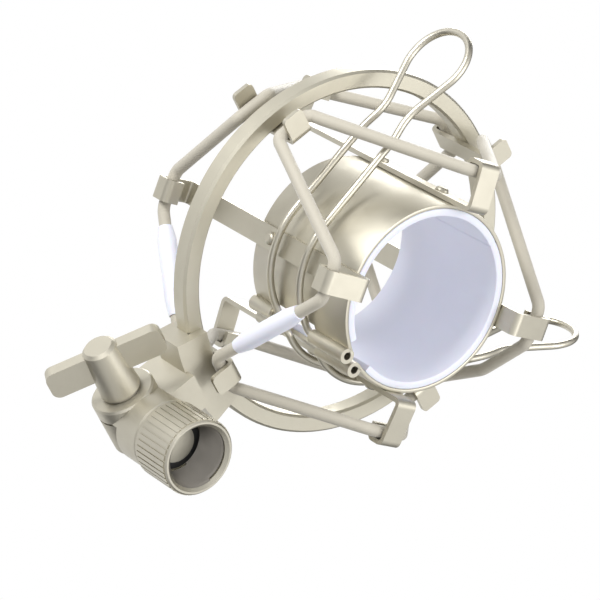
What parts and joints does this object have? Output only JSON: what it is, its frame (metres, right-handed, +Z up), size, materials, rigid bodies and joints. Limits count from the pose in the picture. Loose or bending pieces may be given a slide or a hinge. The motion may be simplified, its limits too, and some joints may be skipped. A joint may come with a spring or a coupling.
{
  "type": "microphone shock mount",
  "caption": "Elastic spider shock mount: spring clamp with squeeze handles hung by cords in a ring, on a swivelling stand adapter.",
  "frame": {"origin": "centre of the microphone clamp, on its axis", "axes": "+Z up along the clamp's axis, towards the long hooks; +Y towards the stand adapter"},
  "size_m": [0.1078, 0.1324, 0.0782],
  "materials": {
    "plated_ring": "satin champagne plating",
    "plated_sheet": "satin champagne plating",
    "plated_cast": "satin champagne plating",
    "plated_wire": "satin champagne plating",
    "liner": "soft, pale lavender",
    "cord": "braided elastic, champagne",
    "cord_sleeve": "soft, pale",
    "spring_steel": "dark spring steel",
    "stud_steel": "plated steel",
    "nylon": "natural nylon"
  },
  "bodies": {
    "collar": {"thread_collar": "plated_cast"},
    "swivel": {"swivel_body": "plated_cast", "snap_ring": "spring_steel", "friction_washers": "nylon", "clamp_nut": "stud_steel"},
    "clamp_slide": {"thrust_washer": "stud_steel"},
    "clamp_screw": {"t_handle": "plated_cast", "clamp_stud": "stud_steel"},
    "frame": {"outer_ring": "plated_ring", "ring_post_back": "plated_sheet", "ring_post_left": "plated_sheet", "ring_post_front": "plated_sheet", "ring_post_right": "plated_sheet", "mount_lug": "plated_cast", "lower_elastic": "cord", "upper_elastic": "cord", "lower_joint_sleeve": "cord_sleeve", "upper_joint_sleeve": "cord_sleeve"},
    "cradle": {"clamp_band": "plated_sheet", "clamp_liner": "liner", "strip_rivets": "plated_cast", "cradle_strip_050": "plated_sheet", "cradle_strip_140": "plated_sheet", "cradle_strip_230": "plated_sheet", "cradle_strip_320": "plated_sheet"},
    "jaw_left": {"band_end_left": "plated_sheet", "liner_end_left": "liner", "wire_handle_left": "plated_wire"},
    "jaw_right": {"band_end_right": "plated_sheet", "liner_end_right": "liner", "wire_handle_right": "plated_wire"}
  },
  "joints": [
    {"name": "collar_spin", "type": "hinge", "parent": "collar", "child": "swivel", "pos_m": [0, 0.068, 0], "axis": [0, 0, 1], "continuous": true},
    {"name": "swivel_tilt", "type": "hinge", "parent": "swivel", "child": "frame", "pos_m": [0, 0.068, 0.0175], "axis": [-1, 0, 0], "range_deg": [-12, 142]},
    {"name": "clamp_advance", "type": "slide", "parent": "swivel", "child": "clamp_slide", "axis": [-1, 0, 0], "range_m": [0, 0.0015]},
    {"name": "clamp_turn", "type": "hinge", "parent": "clamp_slide", "child": "clamp_screw", "pos_m": [0, 0.068, 0.0175], "axis": [-1, 0, 0], "range_deg": [0, 540]},
    {"name": "suspension", "type": "slide", "parent": "frame", "child": "cradle", "axis": [0, 0, 1], "range_m": [-0.004, 0.004], "stiffness_N_per_m": 2000, "deforming": ["lower_elastic", "upper_elastic"]},
    {"name": "jaw_left_open", "type": "hinge", "parent": "cradle", "child": "jaw_left", "pos_m": [-0.01732, 0.01732, 0], "axis": [0, 0, 1], "range_deg": [0, 5], "stiffness_Nm_per_rad": 6},
    {"name": "jaw_right_open", "type": "hinge", "parent": "cradle", "child": "jaw_right", "pos_m": [0.01732, 0.01732, 0], "axis": [0, 0, -1], "range_deg": [0, 5], "stiffness_Nm_per_rad": 6}
  ],
  "couplings": [
    {"joint": "clamp_advance", "follows": "clamp_turn", "m_per_rad": 0.00015915},
    {"joint": "jaw_right_open", "follows": "jaw_left_open", "ratio": 1}
  ]
}
